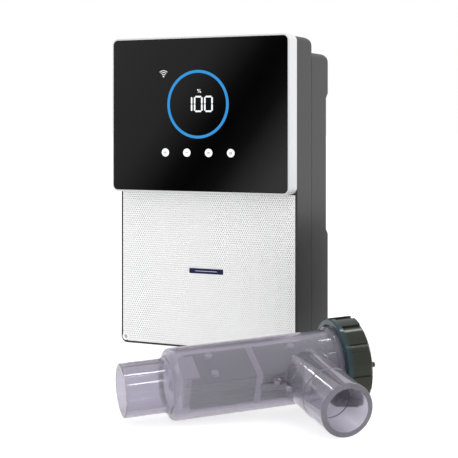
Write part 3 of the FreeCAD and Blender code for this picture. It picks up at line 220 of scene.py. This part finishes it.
def mix_in(material, level, colour):
    """Mixes a colour into the base colour that the shader has so far, by a level."""
    base = shader_of(material).inputs["Base Color"]
    mix = add_node(material, "ShaderNodeMix")
    mix.data_type = "RGBA"
    mix.inputs["B"].default_value = (*colour, 1)
    link(material, level, mix.inputs["Factor"])
    link(material, base.links[0].from_socket, mix.inputs["A"])
    link(material, mix.outputs["Result"], base)


# ---------------------------------------------------------------- materials
def surface(name, colour, rough, metallic=0.0, vary=0.06, grain=600.0, bump=0.15, depth=0.2 * MM, coat=0.0,
            specular=0.5, stretch=(1.0, 1.0, 1.0)):
    """A plastic or metal with fine grain, slight colour variation and uneven gloss."""
    material, shader = new_material(name)
    coords = add_node(material, "ShaderNodeTexCoord")
    scale = add_node(material, "ShaderNodeMapping", Scale=stretch)
    link(material, coords.outputs["Object"], scale.inputs["Vector"])
    fine = add_node(material, "ShaderNodeTexNoise", Scale=grain, Detail=4.0)
    broad = add_node(material, "ShaderNodeTexNoise", Scale=grain / PATCH, Detail=3.0)
    for noise in (fine, broad):
        link(material, scale.outputs["Vector"], noise.inputs["Vector"])
    tint = add_ramp(material, broad.outputs["Fac"],
                    [c * (1 - vary) for c in colour], [c * (1 + vary) for c in colour])
    link(material, tint, shader.inputs["Base Color"])
    gloss = add_range(material, fine.outputs["Fac"], To_Min=rough - ROUGH_SPREAD, To_Max=rough + ROUGH_SPREAD)
    link(material, gloss, shader.inputs["Roughness"])
    relief = add_bump(material, fine.outputs["Fac"], bump, depth)
    rounded = add_node(material, "ShaderNodeBevel", Radius=EDGE_R)
    link(material, rounded.outputs["Normal"], relief.inputs["Normal"])
    shader.inputs["Metallic"].default_value = metallic
    shader.inputs["Coat Weight"].default_value = coat
    shader.inputs["Specular IOR Level"].default_value = specular
    shader.inputs["Coat Roughness"].default_value = 0.08
    return material


def pale_edges(material, pale, amount):
    """Edges paler: pointiness lifts the colour."""
    geometry = add_node(material, "ShaderNodeNewGeometry")
    edge = add_range(material, geometry.outputs["Pointiness"], From_Min=0.52, From_Max=0.62, To_Max=amount)
    mix_in(material, edge, pale)
    return material


def lit(name, colour, strength):
    """Light through a diffuser: a little uneven from place to place."""
    material, shader = new_material(name)
    tint = add_ramp(material, add_noise(material, scale=55.0, detail=2.0),
                    [c * LIT_DIM for c in colour], [min(1.0, c * LIT_BRIGHT) for c in colour])
    link(material, tint, shader.inputs["Emission Color"])
    shader.inputs["Base Color"].default_value = (*[c * LIT_BASE for c in colour], 1)
    shader.inputs["Emission Strength"].default_value = strength
    shader.inputs["Roughness"].default_value = 0.3
    return material


def clear_plastic():
    """Smoky, faintly violet clear plastic: absorbs along its thickness, slightly milky."""
    material, shader = new_material("clear_violet")
    cloud = add_noise(material, scale=14.0, detail=3.0)
    tint = add_ramp(material, cloud, (0.60, 0.59, 0.67), (0.70, 0.69, 0.77))
    link(material, tint, shader.inputs["Base Color"])
    ripple = add_noise(material, scale=60.0, detail=2.0)
    add_bump(material, ripple, strength=0.08, distance=0.6 * MM)
    shader.inputs["Roughness"].default_value = 0.07
    shader.inputs["IOR"].default_value = 1.47
    shader.inputs["Transmission Weight"].default_value = 0.83
    fog = add_node(material, "ShaderNodeVolumeAbsorption", Color=(0.75, 0.685, 0.75, 1), Density=85.0)
    output = material.node_tree.nodes["Material Output"]
    link(material, fog.outputs["Volume"], output.inputs["Volume"])
    return material


def black_glass():
    """Black glass, a little less glossy from place to place."""
    material, shader = new_material("black_glass")
    gloss = add_range(material, add_noise(material, scale=18.0, detail=2.0), To_Min=0.03, To_Max=0.07)
    link(material, gloss, shader.inputs["Roughness"])
    shader.inputs["Base Color"].default_value = (0.0012, 0.0012, 0.0014, 1)
    shader.inputs["IOR"].default_value = 1.5
    return material


def circuit_board():
    """Green solder resist with a faint pattern of tracks."""
    material = surface("circuit_green", (0.015, 0.11, 0.045), 0.35, grain=900.0, bump=0.1)
    coords = add_node(material, "ShaderNodeTexCoord")
    turn = add_node(material, "ShaderNodeMapping", Rotation=(math.radians(90), 0, 0))
    tracks = add_node(material, "ShaderNodeTexBrick", Scale=60.0, Mortar_Size=0.03,
                      Color1=(0.012, 0.10, 0.04, 1), Color2=(0.02, 0.13, 0.05, 1),
                      Mortar=(0.05, 0.24, 0.10, 1))
    link(material, coords.outputs["Object"], turn.inputs["Vector"])
    link(material, turn.outputs["Vector"], tracks.inputs["Vector"])
    link(material, tracks.outputs["Color"], shader_of(material).inputs["Base Color"])
    return material


def wound_copper():
    """Lacquered windings: fine parallel ridges."""
    material = surface("coil_copper", (0.42, 0.16, 0.05), 0.3, metallic=0.4, grain=300.0)
    coords = add_node(material, "ShaderNodeTexCoord")
    wave = add_node(material, "ShaderNodeTexWave", Scale=320.0, Distortion=0.4)
    wave.bands_direction = "Z"
    link(material, coords.outputs["Object"], wave.inputs["Vector"])
    add_bump(material, wave.outputs["Fac"], strength=0.6, distance=0.4 * MM)
    return material


def nut_plastic():
    """Dark green plastic, with a painted teal reflection of the clear collar near the nut's mouth, and
    browner below.
    """
    material = surface("nut_green", (0.017, 0.022, 0.014), 0.16, vary=0.2, grain=500.0, bump=0.05,
                       specular=0.28)
    coords = add_node(material, "ShaderNodeTexCoord")
    mouth = min(v.co.dot(Vector(BODY_AXIS)) for v in nodes["union_nut"].data.vertices)
    # the teal near the mouth is a painted reflection of the clear collar; the brown is a tint by height
    for way, none, full, tint in ((BODY_AXIS, mouth + NUT_PAINTED_REFLECTION_L, mouth, (0.016, 0.045, 0.055)),
                                  ((0, 0, 1), NUT_BROWN_TOP, NUT_BROWN_FULL, (0.030, 0.018, 0.004))):
        place = add_node(material, "ShaderNodeVectorMath")
        place.operation = "DOT_PRODUCT"
        place.inputs[1].default_value = way
        link(material, coords.outputs["Object"], place.inputs[0])
        mix_in(material, add_range(material, place.outputs["Value"], From_Min=none, From_Max=full), tint)
    return material


MATERIALS = {
    "dark_shell": pale_edges(surface("dark_shell", (0.020, 0.020, 0.021), 0.45, grain=1400.0, bump=0.35,
                                     depth=0.3 * MM, specular=0.3), (0.05, 0.05, 0.05), 0.15),
    "white_cover": surface("white_cover", (0.93, 0.93, 0.93), 0.42, vary=0.015, grain=900.0, bump=0.05),
    "bezel_white": pale_edges(surface("bezel_white", (0.58, 0.58, 0.59), 0.3, vary=0.02, grain=900.0,
                                      bump=0.05, coat=0.2), (0.9, 0.9, 0.9), 0.4),
    "black_glass": black_glass(),
    "badge_blue": surface("badge_blue", (0.004, 0.006, 0.055), 0.3, specular=0.2),
    "steel": surface("steel", (0.52, 0.52, 0.53), 0.32, metallic=1.0, grain=1200.0, stretch=(1, 1, 6)),
    "seal_rubber": surface("seal_rubber", (0.02, 0.02, 0.02), 0.75, grain=1500.0, bump=0.3),
    "circuit_green": circuit_board(),
    "lamp_blue": lit("lamp_blue", (0.02, 0.35, 0.85), 0.62),
    "lamp_white": lit("lamp_white", (0.90, 0.92, 0.94), 1.0),
    "core_steel": surface("core_steel", (0.13, 0.13, 0.14), 0.5, metallic=0.8, grain=500.0,
                          stretch=(1, 30, 1)),
    "coil_copper": wound_copper(),
    "sink_alu": surface("sink_alu", (0.62, 0.63, 0.64), 0.38, metallic=1.0, stretch=(1, 1, 12)),
    "black_part": surface("black_part", (0.02, 0.02, 0.021), 0.35),
    "relay_blue": surface("relay_blue", (0.02, 0.09, 0.30), 0.3, coat=0.2),
    "terminal_green": surface("terminal_green", (0.02, 0.22, 0.08), 0.4),
    "cable_grey": surface("cable_grey", (0.40, 0.40, 0.41), 0.55, grain=500.0, stretch=(12, 1, 1)),
    "clear_violet": clear_plastic(),
    "nut_green": nut_plastic(),
    "head_white": surface("head_white", (0.46, 0.45, 0.48), 0.4),
    "titanium": surface("titanium", (0.09, 0.085, 0.10), 0.38, metallic=0.9, grain=700.0, bump=0.25,
                        vary=0.15),
    "comb_white": surface("comb_white", (0.72, 0.71, 0.75), 0.4, vary=0.03),
    "stud_bronze": surface("stud_bronze", (0.06, 0.04, 0.03), 0.35, metallic=0.8, vary=0.3, grain=400.0),
}

for part in frame["record"]["subparts"]:
    item = nodes[part["node"]]
    item.data.materials.clear()
    item.data.materials.append(MATERIALS[part["material_slot"]])


# ---------------------------------------------------------------- mesh helpers
def make_piece(name, vertices, faces, slot, body):
    mesh = bpy.data.meshes.new(name)
    mesh.from_pydata([tuple(v) for v in vertices], [], faces)
    mesh.validate()
    mesh.update()
    mesh.materials.append(MATERIALS[slot])
    piece = bpy.data.objects.new(name, mesh)
    bpy.context.scene.collection.objects.link(piece)
    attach(piece, body)
    return piece


class Builder:
    """Collects closed shapes into one mesh."""

    def __init__(self):
        self.vertices = []
        self.faces = []

    def add(self, vertices, faces):
        start = len(self.vertices)
        self.vertices += [Vector(v) for v in vertices]
        self.faces += [[start + i for i in face] for face in faces]

    def slab(self, outline, y_front, y_back):
        """A flat piece that faces the front: an (x, z) outline, anticlockwise seen from the front."""
        count = len(outline)
        points = [(x, y, z) for y in (y_back, y_front) for x, z in outline]
        faces = [list(range(count))[::-1]]
        for i in range(count):
            after = (i + 1) % count
            faces.append([i, after, after + count, i + count])
        faces.append(list(range(count, 2 * count)))
        self.add(points, faces)

    def band(self, centre, inner, outer, start, end, y_front, y_back, steps):
        """A flat ring or part of one, angles in degrees from +X, anticlockwise."""
        whole = abs(end - start) >= 360
        count = steps if whole else steps + 1
        points = []
        for i in range(count):
            angle = math.radians(start + (end - start) * i / steps)
            for radius, y in ((inner, y_back), (inner, y_front), (outer, y_front), (outer, y_back)):
                points.append((centre[0] + radius * math.cos(angle), y, centre[1] + radius * math.sin(angle)))
        faces = []
        for i in range(steps):
            a, b = 4 * i, 4 * ((i + 1) % count)
            for k in range(4):
                faces.append([a + k, a + (k + 1) % 4, b + (k + 1) % 4, b + k])
        if not whole:
            faces += [[3, 2, 1, 0], [4 * steps + k for k in range(4)]]
        self.add(points, faces)

    def make(self, name, slot, body):
        return make_piece(name, self.vertices, self.faces, slot, body)


def circle(x, z, radius, count):
    return [(x + radius * math.cos(2 * math.pi * i / count), z + radius * math.sin(2 * math.pi * i / count))
            for i in range(count)]


def bar(x0, z0, x1, z1, width, taper=0.5):
    """A bar from one point to another with tapered ends, as an (x, z) outline."""
    a, b = Vector((x0, z0)), Vector((x1, z1))
    along = b - a
    cut = min(width * taper, along.length / 2)
    along.normalize()
    side = Vector((-along.y, along.x)) * width / 2
    tip = side * BAR_TIP
    return [tuple(p) for p in (a - tip, a + along * cut - side, b - along * cut - side, b - tip,
                               b + tip, b - along * cut + side, a + along * cut + side, a + tip)]


# ---------------------------------------------------------------- control panel
glass_low, glass_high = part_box("display_glass")
ring_low, ring_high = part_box("ring_light_guide")
ring_z = (ring_low.z + ring_high.z) / 2
glass_face = glass_low.y
lit_front = glass_face - LIT_T
lit_back = glass_face + LIT_T


def make_ring():
    ring = Builder()
    ring.band((0, ring_z), RING_R - RING_STROKE, RING_R, 0, 360, lit_front, lit_back, steps=144)
    ring.make("ring_glow", "lamp_blue", "control_unit")


def make_digits():
    """100 in seven segments, the 1 of two bars and each 0 of six, with a percent sign above."""
    low = ring_z - DIGIT_DROP
    high = low + DIGIT_H
    mid = (low + high) / 2
    trim = DIGIT_STROKE * DIGIT_TRIM
    uprights = ((low + trim, mid - DIGIT_GAP / 2), (mid + DIGIT_GAP / 2, high - trim))
    flats = (low + DIGIT_STROKE / 2, high - DIGIT_STROKE / 2)
    side_x = (DIGIT_W - DIGIT_STROKE) / 2
    flat_x = side_x - DIGIT_GAP * DIGIT_CLEAR
    one, zero = ((1,), ()), ((-1, 1), flats)
    digits = Builder()
    for centre, (sides, levels) in zip(DIGIT_X, (one, zero, zero)):
        for side in sides:
            x = centre + side * side_x
            for z0, z1 in uprights:
                digits.slab(bar(x, z0, x, z1, DIGIT_STROKE, DIGIT_TAPER), lit_front, lit_back)
        for z in levels:
            digits.slab(bar(centre - flat_x, z, centre + flat_x, z, DIGIT_STROKE, DIGIT_TAPER),
                        lit_front, lit_back)
    x, z = PERCENT_AT[0], ring_z + PERCENT_AT[1]
    across, up = PERCENT_SLASH
    digits.slab(bar(x - across, z - up, x + across, z + up, MARK_STROKE), lit_front, lit_back)
    for side in (-1, 1):
        spot = (x + side * PERCENT_RINGS[0], z - side * PERCENT_RINGS[1])
        digits.band(spot, *PERCENT_RING_R, 0, 360, lit_front, lit_back, steps=24)
    digits.make("digit_segments", "lamp_white", "control_unit")


def make_signal_mark():
    low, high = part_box("wifi_lamp")
    x, z = (low.x + high.x) / 2, low.z + SIGNAL_FOOT
    mark = Builder()
    mark.slab(circle(x, z + SIGNAL_DOT_UP, SIGNAL_DOT_R, count=16), lit_front, lit_back)
    for radius in SIGNAL_ARC_R:
        inner, outer = radius - SIGNAL_STROKE / 2, radius + SIGNAL_STROKE / 2
        mark.band((x, z), inner, outer, *SIGNAL_SPAN, lit_front, lit_back, steps=20)
    mark.make("signal_mark", "lamp_white", "control_unit")


def make_keys():
    """Lit round keys: an open ring and its stem on the first, one to three bars on the others."""
    low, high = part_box("touch_keys")
    z = (low.z + high.z) / 2
    first, last = low.x + KEY_R, high.x - KEY_R
    faces = Builder()
    marks = Builder()
    mark_front = lit_front - KEY_MARK_T
    half = KEY_LINE_L / 2
    for i in range(KEY_COUNT):
        x = first + (last - first) * i / (KEY_COUNT - 1)
        faces.slab(circle(x, z, KEY_R, count=48), lit_front, lit_back)
        if i == 0:
            marks.band((x, z), *KEY_RING_R, *KEY_RING_SPAN, mark_front, lit_front, steps=24)
            marks.slab(bar(x, z + KEY_STEM[0], x, z + KEY_STEM[1], KEY_STEM_STROKE), mark_front, lit_front)
        for row in range(i):
            height = z + (row - (i - 1) / 2) * KEY_LINE_PITCH
            marks.slab(bar(x - half, height, x + half, height, MARK_STROKE), mark_front, lit_front)
    faces.make("key_faces", "lamp_white", "control_unit")
    marks.make("key_marks", "black_part", "control_unit")


make_ring()
make_digits()
make_signal_mark()
make_keys()


# ---------------------------------------------------------------- lower cover
def make_dimpled_cover():
    """A moulded cover whose face is a lattice of staggered cells, each with a small dimple."""
    low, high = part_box("lower_cover")
    low.x, high.x = low.x + COVER_INSET, high.x - COVER_INSET
    screw_low, screw_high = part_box("cover_screws")
    screw_z = (screw_low.z + screw_high.z) / 2
    screw_x = screw_high.x - (screw_high.z - screw_low.z) / 2
    width, height = high.x - low.x, high.z - low.z
    columns = round(width / DIMPLE_PITCH)
    rows = round(height / DIMPLE_ROW)

    def half_width(rise):
        if rise >= COVER_CORNER:
            return width / 2
        return width / 2 - COVER_CORNER + math.sqrt(COVER_CORNER ** 2 - (COVER_CORNER - rise) ** 2)

    across = 2 * columns + 1
    vertices = []
    for j in range(rows + 1):
        rise = height * j / rows
        for k in range(across):
            vertices.append(Vector((half_width(rise) * (k / columns - 1), low.y, low.z + rise)))
    faces = []
    for j in range(rows):
        base, top = j * across, (j + 1) * across
        first = j % 2
        if first:
            faces.append([base, base + 1, top + 1, top])
            faces.append([base + across - 2, base + across - 1, top + across - 1, top + across - 2])
        for i in range(columns - first):
            k = 2 * i + first
            rim = [base + k, base + k + 1, base + k + 2, top + k + 2, top + k + 1, top + k]
            sides = len(rim)
            centre = sum((vertices[v] for v in rim), Vector()) / sides
            if math.hypot(abs(centre.x) - screw_x, centre.z - screw_z) < SCREW_CLEAR_R:
                continue
            start = len(vertices)
            for radius, depth in ((DIMPLE_R, 0.0), (DIMPLE_FLOOR_R, DIMPLE_DEPTH)):
                for v in rim:
                    out = (vertices[v] - centre).normalized() * radius
                    vertices.append(centre + out + Vector((0, depth, 0)))
            floor = start + sides
            for s in range(sides):
                t = (s + 1) % sides
                faces.append([rim[s], rim[t], start + t, start + s])
                faces.append([start + s, start + t, floor + t, floor + s])
            faces.append([floor + s for s in range(sides)])
    border = list(range(across))
    border += [j * across + across - 1 for j in range(1, rows + 1)]
    border += [rows * across + k for k in range(across - 2, -1, -1)]
    border += [j * across for j in range(rows - 1, 0, -1)]
    start = len(vertices)
    vertices += [vertices[v] + Vector((0, high.y - low.y, 0)) for v in border]
    count = len(border)
    for i in range(count):
        t = (i + 1) % count
        faces.append([border[i], start + i, start + t, border[t]])
    faces.append([start + i for i in range(count)][::-1])
    cover = make_piece("dimpled_cover", vertices, faces, "white_cover", "service_cover")
    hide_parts("lower_cover")
    seats = Builder()
    for side in (-1, 1):
        spot = (side * screw_x, screw_z)
        seats.band(spot, SEAT_BORE_R, SEAT_R, 0, 360, low.y - SEAT_OUT, low.y + SEAT_IN, steps=40)
    seats.make("screw_seats", "white_cover", "service_cover")


def make_badge_rule():
    low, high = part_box("cover_badge")
    z = (low.z + high.z) / 2
    rule = Builder()
    outline = bar(low.x + RULE_INSET, z, high.x - RULE_INSET, z, RULE_H)
    rule.slab(outline, low.y - RULE_OUT, low.y + RULE_IN)
    rule.make("badge_rule", "bezel_white", "service_cover")


make_dimpled_cover()
make_badge_rule()


# ---------------------------------------------------------------- stage, light and camera
def make_quad(name, corners, material):
    mesh = bpy.data.meshes.new(name)
    mesh.from_pydata(corners, [], [(0, 1, 2, 3)])
    mesh.materials.append(material)
    quad = bpy.data.objects.new(name, mesh)
    bpy.context.scene.collection.objects.link(quad)
    return quad


def square(half):
    return [(-half, -half, 0), (half, -half, 0), (half, half, 0), (-half, half, 0)]


def make_floor():
    material, shader = new_material("studio_floor")
    shader.inputs["Base Color"].default_value = (0.50, 0.50, 0.50, 1)
    shader.inputs["Roughness"].default_value = 0.9
    shader.inputs["Emission Color"].default_value = (1, 1, 1, 1)
    shader.inputs["Emission Strength"].default_value = 0.70
    floor = make_quad("studio_floor", square(FLOOR_REACH), material)
    floor.location.z = cad_low.z - FLOOR_GAP


def area_light(name, size, power):
    data = bpy.data.lights.new(name, "AREA")
    data.shape = "RECTANGLE"
    data.size, data.size_y = size
    data.energy = power
    light = bpy.data.objects.new(name, data)
    bpy.context.scene.collection.objects.link(light)
    return light


def make_side_box():
    light = area_light("side_box", SIDE_BOX_SIZE, SIDE_BOX_WATTS)
    light.location = SIDE_BOX_AT
    aim = Vector(SIDE_BOX_TO) - Vector(SIDE_BOX_AT)
    light.rotation_euler = aim.to_track_quat("-Z", "Y").to_euler()


def add_streak(name, point, axis, turn, size, power):
    """A strip light that a tube mirrors as a streak through `point`, `turn` off the line nearest the eye."""
    view = (Vector(CAMERA_AT) - point).normalized()
    side = Matrix.Rotation(turn, 3, axis) @ (view - axis * view.dot(axis))
    toward = (side - axis * view.dot(axis)).normalized()
    length_way = (axis - toward * axis.dot(toward)).normalized()
    turned = Matrix((length_way.cross(toward), length_way, toward)).transposed()
    light = area_light(name, size, power)
    light.matrix_world = Matrix.Translation(point + toward * STREAK_AWAY) @ turned.to_4x4()


def card_material():
    """Glow in soft diagonal bands."""
    material = bpy.data.materials.new("reflection_card")
    material.use_nodes = True
    material.node_tree.nodes.clear()
    coords = add_node(material, "ShaderNodeTexCoord")
    turn = add_node(material, "ShaderNodeMapping", Rotation=(0, 0, math.radians(CARD_TURN)),
                    Location=(CARD_SHIFT, 0, 0))
    gradient = add_node(material, "ShaderNodeTexGradient")
    ramp = add_node(material, "ShaderNodeValToRGB")
    for place, _ in CARD_STOPS[1:-1]:
        ramp.color_ramp.elements.new(place)
    for element, (_, level) in zip(ramp.color_ramp.elements, CARD_STOPS):
        element.color = (level, level, level, 1)
    glow = add_node(material, "ShaderNodeEmission")
    output = add_node(material, "ShaderNodeOutputMaterial")
    link(material, coords.outputs["Object"], turn.inputs["Vector"])
    link(material, turn.outputs["Vector"], gradient.inputs["Vector"])
    link(material, gradient.outputs["Fac"], ramp.inputs["Fac"])
    link(material, ramp.outputs["Color"], glow.inputs["Color"])
    link(material, glow.outputs["Emission"], output.inputs["Surface"])
    return material


def make_reflection_card():
    """A card that only mirrors see: it gives the black glass its soft diagonal shade."""
    centre = Vector((0, glass_face, (glass_low.z + glass_high.z) / 2))
    ray = (centre - Vector(CAMERA_AT)).normalized()
    mirrored = Vector((ray.x, -ray.y, ray.z))
    right = Vector((-mirrored.y, mirrored.x, 0)).normalized()
    up = mirrored.cross(right)
    turned = Matrix((right, up, right.cross(up))).transposed()
    card = make_quad("reflection_card", square(CARD_HALF), card_material())
    card.matrix_world = Matrix.Translation(centre + mirrored * CARD_AWAY) @ turned.to_4x4()
    card.visible_camera = False
    card.visible_diffuse = False
    card.visible_shadow = False
    card.visible_transmission = False


def make_flag():
    """A black flag low on the right: it shades the dark side and the nut toward the floor."""
    material, shader = new_material("flag")
    shader.inputs["Base Color"].default_value = (0, 0, 0, 1)
    shader.inputs["Specular IOR Level"].default_value = 0
    near, far = FLAG_Y
    corners = [(FLAG_X, near, 0), (FLAG_X, far, 0), (FLAG_X, far, FLAG_H), (FLAG_X, near, FLAG_H)]
    flag = make_quad("flag", corners, material)
    flag.visible_camera = False
    flag.visible_transmission = False
    flag.visible_shadow = False


def make_world():
    world = bpy.data.worlds.new("studio")
    bpy.context.scene.world = world
    world.use_nodes = True
    background = world.node_tree.nodes["Background"]
    background.inputs["Color"].default_value = (1, 1, 1, 1)
    background.inputs["Strength"].default_value = 1.0
    bpy.context.scene.view_settings.view_transform = "Standard"


def make_camera():
    data = bpy.data.cameras.new("camera")
    data.lens = CAMERA_LENS
    data.shift_y = CAMERA_SHIFT_Y
    camera = bpy.data.objects.new("camera", data)
    camera.location = CAMERA_AT
    camera.rotation_euler = (math.radians(90), 0, math.radians(CAMERA_YAW))
    bpy.context.scene.collection.objects.link(camera)
    bpy.context.scene.camera = camera


make_floor()
make_world()
make_side_box()
for name, point, axis, turn, size, power in STREAKS:
    add_streak(name, Vector(point), Vector(axis).normalized(), math.radians(turn), size, power)
make_reflection_card()
make_flag()
make_camera()
